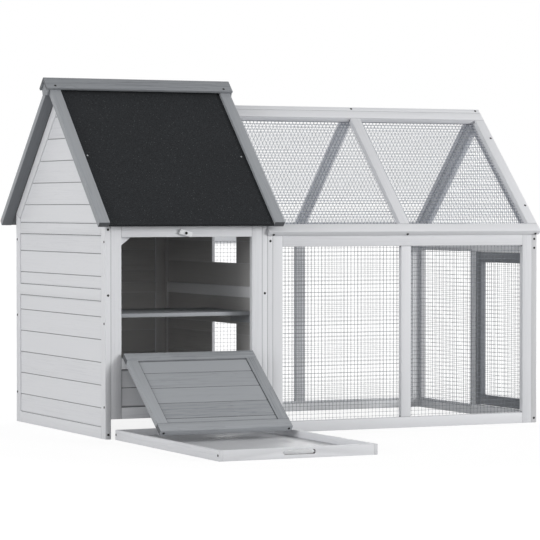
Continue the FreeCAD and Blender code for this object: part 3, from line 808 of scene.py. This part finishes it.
def wire_row(tree, count, step, wire_end, profile):
    """Equal wires from a row of points."""
    row = put(tree, "GeometryNodeMeshLine", {"Count": count, "Offset": step}, mode="OFFSET")
    line = put(tree, "GeometryNodeCurvePrimitiveLine", {"End": wire_end})
    line = put(tree, "GeometryNodeResampleCurve", {"Curve": line.outputs[0], "Count": WIRE_STEPS})
    wire = put(tree, "GeometryNodeCurveToMesh", {
        "Curve": line.outputs[0], "Profile Curve": profile, "Fill Caps": True})
    rows = put(tree, "GeometryNodeInstanceOnPoints", {"Points": row.outputs[0], "Instance": wire.outputs[0]})
    return put(tree, "GeometryNodeRealizeInstances", {"Geometry": rows.outputs[0]}).outputs[0]


def welded_tree():
    """Upright wires with level wires welded to their inner side; X is along the sheet, Z up and Y inward."""
    tree, identifiers, given = start_tree("welded_mesh", {
        "Width": "Float", "Height": "Float", "Columns": "Int", "Rows": "Int", "Wire": "Float",
        "Bend": "Float", "Material": "Material"})
    width, height, columns, rows, wire, bend, material = given.outputs[1:8]
    gap_x = put(tree, "ShaderNodeMath", {0: width, 1: columns}, operation="DIVIDE")
    gap_z = put(tree, "ShaderNodeMath", {0: height, 1: rows}, operation="DIVIDE")
    across = put(tree, "ShaderNodeMath", {0: columns, 1: 1.0})
    upward = put(tree, "ShaderNodeMath", {0: rows, 1: 1.0})
    radius = put(tree, "ShaderNodeMath", {0: wire, 1: 0.5}, operation="MULTIPLY")
    profile = put(tree, "GeometryNodeCurvePrimitiveCircle", {
        "Resolution": WIRE_SIDES, "Radius": radius.outputs[0]})
    step_x = put(tree, "ShaderNodeCombineXYZ", {"X": gap_x.outputs[0]})
    step_z = put(tree, "ShaderNodeCombineXYZ", {"Z": gap_z.outputs[0]})
    top = put(tree, "ShaderNodeCombineXYZ", {"Z": height})
    side = put(tree, "ShaderNodeCombineXYZ", {"X": width})
    uprights = wire_row(tree, across.outputs[0], step_x.outputs[0], top.outputs[0], profile.outputs[0])
    levels = wire_row(tree, upward.outputs[0], step_z.outputs[0], side.outputs[0], profile.outputs[0])
    inward = put(tree, "ShaderNodeCombineXYZ", {"Y": wire})
    levels = put(tree, "GeometryNodeTransform", {"Geometry": levels, "Translation": inward.outputs[0]})
    sheet = put(tree, "GeometryNodeJoinGeometry", {"Geometry": [uprights, levels.outputs[0]]})
    sway = put(tree, "ShaderNodeMath", {0: bend, 1: SWAY}, operation="MULTIPLY")
    amount = put(tree, "ShaderNodeCombineXYZ", {"X": sway.outputs[0], "Y": bend, "Z": sway.outputs[0]})
    end_tree(tree, bent(tree, sheet.outputs[0], amount.outputs[0]), material)
    return tree, identifiers


welded, welded_inputs = welded_tree()
print("welded mesh inputs:", ", ".join(welded_inputs))

# %% Lay the mesh
SQUARE = 12.7 * MM
WALL_SHEET = {"wire": 1.0 * MM, "bend": 0.3 * MM, "metal": netting}
ROOF_SHEET = {"wire": 1.25 * MM, "bend": 0.9 * MM, "metal": roof_netting}
ROOF_LEAN = math.radians(-45)
DECIMALS = 5
CUT_END_SIDES = 8


def drawn(name, tree, identifiers, values, points=None):
    """Run a tree once and keep its result as a plain mesh."""
    holder = shown(name + "_holder", points or bpy.data.meshes.new(name + "_base"))
    modifier = holder.modifiers.new(name, "NODES")
    modifier.node_group = tree
    for label, value in values.items():
        modifier[identifiers[label]] = value
    bpy.context.view_layer.update()
    depsgraph = bpy.context.evaluated_depsgraph_get()
    mesh = bpy.data.meshes.new_from_object(holder.evaluated_get(depsgraph))
    holder.modifiers.remove(modifier)
    bpy.data.objects.remove(holder)
    mesh.name = name
    return mesh


def sheet_place(node, heading, lean):
    """Where a sheet's plane lies, and the sheet's points in that plane, from its low corner."""
    turn = Matrix.Rotation(math.radians(heading), 4, "Z") @ Matrix.Rotation(lean, 4, "X")
    flat = np.array([turn.inverted() @ vert.co for vert in frame["nodes"][node].data.vertices])
    low = flat.min(axis=0)
    return turn @ Matrix.Translation(Vector(low)), flat - low


def trimmed(mesh, outline):
    """Cut a flat sheet to a convex outline of (x, z) points and close the cut wires."""
    bm = bmesh.new()
    bm.from_mesh(mesh)
    middle = sum((Vector(point) for point in outline), Vector((0, 0))) / len(outline)
    for start, end in zip(outline, outline[1:] + outline[:1]):
        side = Vector((end[1] - start[1], start[0] - end[0]))
        if side.dot(middle - Vector(start)) > 0:
            side = -side
        everything = bm.verts[:] + bm.edges[:] + bm.faces[:]
        bmesh.ops.bisect_plane(bm, geom=everything, plane_co=(start[0], 0, start[1]),
                               plane_no=(side.x, 0, side.y), clear_outer=True)
    open_ends = [edge for edge in bm.edges if edge.is_boundary]
    bmesh.ops.holes_fill(bm, edges=open_ends, sides=CUT_END_SIDES)
    bm.to_mesh(mesh)
    bm.free()


def welded_sheet(node, heading, lean=0.0, kind=WALL_SHEET):
    """Welded mesh in the place of a solid sheet."""
    wire = kind["wire"]
    place, flat = sheet_place(node, heading, lean)
    width, height = flat[:, 0].max() - wire, flat[:, 2].max() - wire
    points = sorted({(round(x, DECIMALS), round(z, DECIMALS)) for x, z in flat[:, (0, 2)].tolist()})
    outline = [points[i] for i in geometry.convex_hull_2d(points)]
    mesh = drawn(node + "_wires", welded, welded_inputs, {
        "Width": float(width), "Height": float(height), "Columns": round(width / SQUARE),
        "Rows": round(height / SQUARE), "Wire": wire, "Bend": kind["bend"], "Material": kind["metal"]})
    mesh.transform(Matrix.Translation((wire / 2, wire / 2, wire / 2)))
    if len(outline) > 4:
        trimmed(mesh, outline)
    mesh.transform(place)
    settle(shown(mesh.name, mesh), "galvanised_wire", node)
    print(node, len(mesh.polygons), "faces")


welded_sheet("run_front_mesh", 0)
welded_sheet("run_back_mesh", 180)
for node in ("run_end_mesh", "run_door_mesh"):
    welded_sheet(node, 90)
welded_sheet("run_gable_mesh", 90, kind=ROOF_SHEET)
welded_sheet("run_roof_front_mesh", 0, ROOF_LEAN, ROOF_SHEET)
welded_sheet("run_roof_back_mesh", 180, ROOF_LEAN, ROOF_SHEET)

# %% [markdown]
# ## Felt, hinges and pivots
#
# These solids already have the right shape, so they keep it and only take a finish.

# %% Felt, hinges and pivots
bare = {node: plated for node in ("sill_hinge_leaves", "ramp_hinge_pins", "ramp_hinge_leaves",
                                  "post_hinge_leaves", "run_door_hinge_leaves", "run_door_hinge_pins")}
bare.update({"front_button_screw": phosphate, "run_button_screw": phosphate, "roof_felt": felt})
for node, material in bare.items():
    frame["nodes"][node].data.materials.clear()
    frame["nodes"][node].data.materials.append(material)
print(len(bare), "bare nodes")

# %% [markdown]
# ## Screws
#
# The panels are screwed together through their edges, and the heads are plain to see. One head with a cross
# recess is built from listed points; a node tree sets a copy on every listed point, turns it to face out of
# the timber and gives it a spin of its own.

# %% Screw head
HEAD_RADIUS = 3.8 * MM
HEAD_RISE = 0.9 * MM
RIM_RISE = 0.6 * HEAD_RISE
HEAD_SINK = 0.2 * MM
RECESS = {"reach": 2.0 * MM, "arm": 0.6 * MM, "depth": 0.7 * MM}


def screw_head():
    """A low countersunk head with a cross recess, facing +Z."""
    reach, arm = RECESS["reach"], RECESS["arm"]
    cross = [(arm, arm), (arm, reach), (-arm, reach), (-arm, arm), (-reach, arm), (-reach, -arm),
             (-arm, -arm), (-arm, -reach), (arm, -reach), (arm, -arm), (reach, -arm), (reach, arm)]
    rim = [Vector(point).normalized() * HEAD_RADIUS for point in cross]
    layers = [(cross, HEAD_RISE - RECESS["depth"]), (cross, HEAD_RISE), (rim, RIM_RISE), (rim, -HEAD_SINK)]
    bm = bmesh.new()
    rings = [[bm.verts.new((x, y, z)) for x, y in points] for points, z in layers]
    for inner, outer in zip(rings, rings[1:]):
        for i in range(len(cross)):
            j = (i + 1) % len(cross)
            bm.faces.new((inner[i], outer[i], outer[j], inner[j]))
    bm.faces.new(rings[0])
    bm.faces.new(reversed(rings[-1]))
    bmesh.ops.recalc_face_normals(bm, faces=bm.faces)
    mesh = bpy.data.meshes.new("screw_head")
    bm.to_mesh(mesh)
    bm.free()
    return bpy.data.objects.new("screw_head", mesh)


def screw_tree():
    """A head on every point, facing along the point's own direction."""
    tree, identifiers, given = start_tree("screws", {"Head": "Object", "Seed": "Int", "Material": "Material"})
    facing = put(tree, "GeometryNodeInputNamedAttribute", {"Name": "facing"}, data_type="FLOAT_VECTOR")
    spin = put(tree, "FunctionNodeRandomValue", {"Max": math.pi, "Seed": given.outputs["Seed"]})
    spin = put(tree, "ShaderNodeCombineXYZ", {"Z": spin.outputs[1]})
    spun = put(tree, "FunctionNodeEulerToRotation", {"Euler": spin.outputs[0]})
    aimed = put(tree, "FunctionNodeAlignRotationToVector", {"Vector": facing.outputs[0]}, axis="Z")
    turned = put(tree, "FunctionNodeRotateRotation", {
        "Rotation": aimed.outputs[0], "Rotate By": spun.outputs[0]}, rotation_space="LOCAL")
    head = put(tree, "GeometryNodeObjectInfo", {"Object": given.outputs["Head"]})
    size = put(tree, "GeometryNodeInputNamedAttribute", {"Name": "size"}, data_type="FLOAT")
    heads = put(tree, "GeometryNodeInstanceOnPoints", {
        "Points": given.outputs["Geometry"], "Instance": head.outputs["Geometry"],
        "Rotation": turned.outputs[0], "Scale": size.outputs[0]})
    end_tree(tree, heads.outputs[0], given.outputs["Material"])
    return tree, identifiers


head = screw_head()
screws, screw_inputs = screw_tree()
print("screw head", len(head.data.polygons), "faces")

# %% [markdown]
# The screws' places are given in millimetres from the house's lower left front corner, as a joiner would mark
# them. The back of the hutch is screwed as the front is, so most places are mirrored about the ridge. In the
# inner corners of the run's frames, small dark heads are set as painted shade in the corners.

# %% Screws of the panels
def marked(node):
    """A node's low and high corners as a joiner's marks."""
    return [(edge - corner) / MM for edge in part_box(node)]


def both(places, facing):
    """Places on the front half of the hutch, and the same on the back half."""
    turned = (facing[0], -facing[1], facing[2])
    return [(place, facing) for place in places] + [((x, depth - y, z), turned) for x, y, z in places]


depth = marked("house_back_stiles")[1].y
run_end = marked("run_end_stiles")[1].x
UP_SLOPE = (0, -1, 1)
RAFTERS = (553, 1020, 1487)
HOUSE_FRONT = [(9, 0, z) for z in (14, 431, 628)] + [(527, 0, 431)]
RUN_FRONT = [(546, 0, z) for z in (591, 15)] + [(run_end - 9, 0, z) for z in (15, 564, 593)]
LEFT_WALL = [(0, 10, z) for z in (96, 346, 591)]
EAVES = [(x, -9, 610) for x in RAFTERS]
END_RAFTER = [(run_end - 4, 289, 924), (run_end - 4, 66, 701)]
CAP_ENDS = [(x, 361, 1072) for x in (-21, 552)]
RUN_RIDGE = [(x, 382, 1017) for x in RAFTERS[1:]]

fixed = both(HOUSE_FRONT, FRONT) + both(RUN_FRONT, FRONT) + both(LEFT_WALL, LEFT)
fixed += both(EAVES, DOWN_SLOPE) + both(END_RAFTER + CAP_ENDS, UP_SLOPE)
fixed += [(place, UP_SLOPE) for place in RUN_RIDGE]
print(len(fixed), "screws in the panels")

# %% Painted shade dots in the run's corners, and nails of the felt
FRONT_BAYS = (588, 1002.5, 1036.5, 1445)
FRONT_CORNERS = {"in": 8, "rows": (36, 571)}
ROOF_BAYS = (570, 1002.5, 1036.5, 1469)
ROOF_CORNER = (357, 977)
FELT_NAILS = [(x, 167, 852.5) for x in (9.5, 524.5)]

# Small dark heads in the inner corners of the run's frames are painted shade.
corner_pins = []
for first, facing in ((1, LEFT), (0, RIGHT)):
    corner_pins += both([(x, FRONT_CORNERS["in"], z) for x in FRONT_BAYS[first::2]
                         for z in FRONT_CORNERS["rows"]], facing)
for first, facing in ((1, LEFT), (0, RIGHT)):
    corner_pins += [((x, *ROOF_CORNER), facing) for x in ROOF_BAYS[first::2]]
felt_nails = both(FELT_NAILS, UP_SLOPE)
print(len(corner_pins), "pins,", len(felt_nails), "nails")

# %% Screws of the doors and the tray
HINGE_SCREWS = (10, 30, 50)
LEAF_EDGE = 5.5
LEAF = 1.2
RAMP_EDGE = (0, -0.8, -0.6)
RAMP_THICK = 18
RAMP_SCREW = 11
TRAY_SCREW = {"rise": 16, "in": 6}

leaf_low, leaf_high = marked("post_hinge_leaves")
leaf_rows = [leaf_low.z + rise for rise in HINGE_SCREWS] + [leaf_high.z - rise for rise in HINGE_SCREWS]
post_screws = [((run_end + LEAF, leaf_high.y - LEAF_EDGE, z), RIGHT) for z in leaf_rows]
door_leaf_y = marked("run_door_hinge_leaves")[0].y + LEAF_EDGE
door_screws = [((run_end + LEAF, door_leaf_y, z), RIGHT) for z in leaf_rows]
ramp_low, ramp_high = marked("ramp_rails")
free_edge = (ramp_low.y - RAMP_EDGE[2] * RAMP_THICK / 2, ramp_low.z - RAMP_EDGE[1] * RAMP_THICK / 2)
ramp_screws = [((x, *free_edge), RAMP_EDGE) for x in (ramp_low.x + RAMP_SCREW, ramp_high.x - RAMP_SCREW)]
tray_low, tray_high = marked("tray_sides")
tray_screws = [((x, y, TRAY_SCREW["rise"]), facing)
               for x, facing in ((tray_low.x, LEFT), (tray_high.x, RIGHT))
               for y in (tray_low.y + TRAY_SCREW["in"], tray_high.y - TRAY_SCREW["in"])]
print(len(post_screws) + len(door_screws), "hinge screws")

# %% Drive the screws
SPIN_SEED = 5
CORNER_DOT_SIZE = 0.6
SMALL_HEAD = 0.7


def drive(name, body, places, material, size=1.0):
    """One mesh of screw heads for a body."""
    points = bpy.data.meshes.new(name + "_points")
    points.from_pydata([corner + Vector(place) * MM for place, facing in places], [], [])
    facings = points.attributes.new("facing", "FLOAT_VECTOR", "POINT")
    facings.data.foreach_set("vector", [c for place, facing in places for c in Vector(facing).normalized()])
    sizes = points.attributes.new("size", "FLOAT", "POINT")
    sizes.data.foreach_set("value", [size] * len(places))
    values = {"Head": head, "Seed": SPIN_SEED, "Material": material}
    piece = shown(name, drawn(name, screws, screw_inputs, values, points))
    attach(piece, body)
    print(name, len(places), "heads")


drive("panel_screws", "hutch", fixed, phosphate)
drive("tray_screws", "tray", tray_screws, phosphate)
drive("ramp_screws", "ramp_door", ramp_screws, phosphate)
# Painted shade: small dark heads in the run's inner corners.
drive("corner_pins", "hutch", corner_pins, phosphate, CORNER_DOT_SIZE)
drive("felt_nails", "hutch", felt_nails, plated, SMALL_HEAD)
drive("post_leaf_screws", "hutch", post_screws, plated, SMALL_HEAD)
drive("door_leaf_screws", "run_door", door_screws, plated, SMALL_HEAD)
